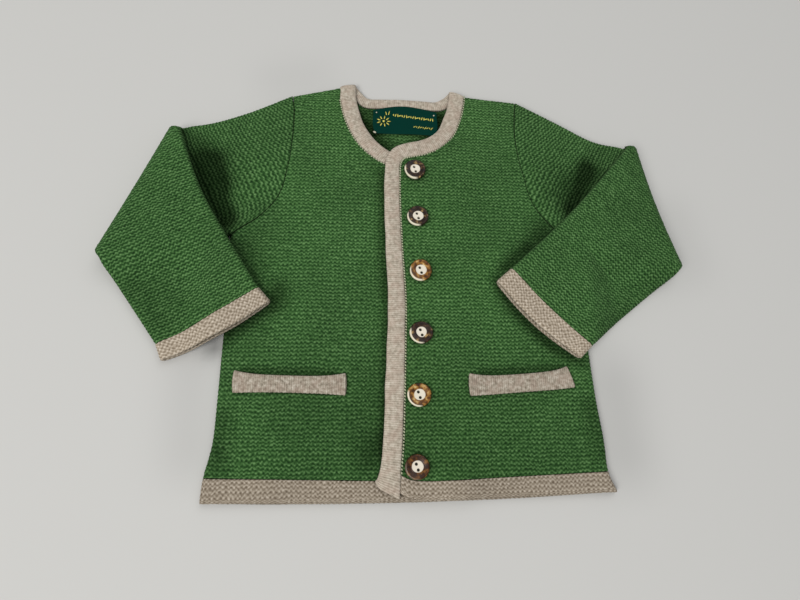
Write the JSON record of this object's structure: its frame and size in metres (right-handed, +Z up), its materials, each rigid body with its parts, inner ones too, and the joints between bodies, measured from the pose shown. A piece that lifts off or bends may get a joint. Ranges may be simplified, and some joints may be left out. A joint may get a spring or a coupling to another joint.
{
  "type": "knit cardigan, laid flat with the sleeves folded over the front",
  "caption": "Child's green knit cardigan with beige binding, hem, cuffs and welt pockets, buttoned, laid flat with folded sleeves.",
  "frame": {"origin": "on the underside of the back, on the centre front line, about halfway up the body, where the garment lies on its surface", "axes": "+X across the garment to the wearer's left, +Y along the back from hem to neck, +Z up out of the surface it lies on"},
  "size_m": [0.4318, 0.3228, 0.0154],
  "materials": {
    "green_knit": "garter-stitch wool, mid green",
    "beige_knit": "garter-stitch wool, beige melange",
    "beige_binding": "fine knitted wool binding, beige melange",
    "woven_label": "woven satin label, dark green with gold thread",
    "antler": "polished antler slice, cream core and brown rim"
  },
  "bodies": {
    "root": {"back": "green_knit", "front_right": "green_knit", "front_left": "green_knit", "sleeve_right": "green_knit", "sleeve_left": "green_knit", "hem_back": "beige_knit", "hem_front_right": "beige_knit", "hem_front_left": "beige_knit", "cuff_right": "beige_knit", "cuff_left": "beige_knit", "pocket_welt_right": "beige_knit", "pocket_welt_left": "beige_knit", "edge_binding": "beige_binding", "label": "woven_label", "button_1": "antler", "button_2": "antler", "button_3": "antler", "button_4": "antler", "button_5": "antler", "button_6": "antler"}
  },
  "joints": []
}
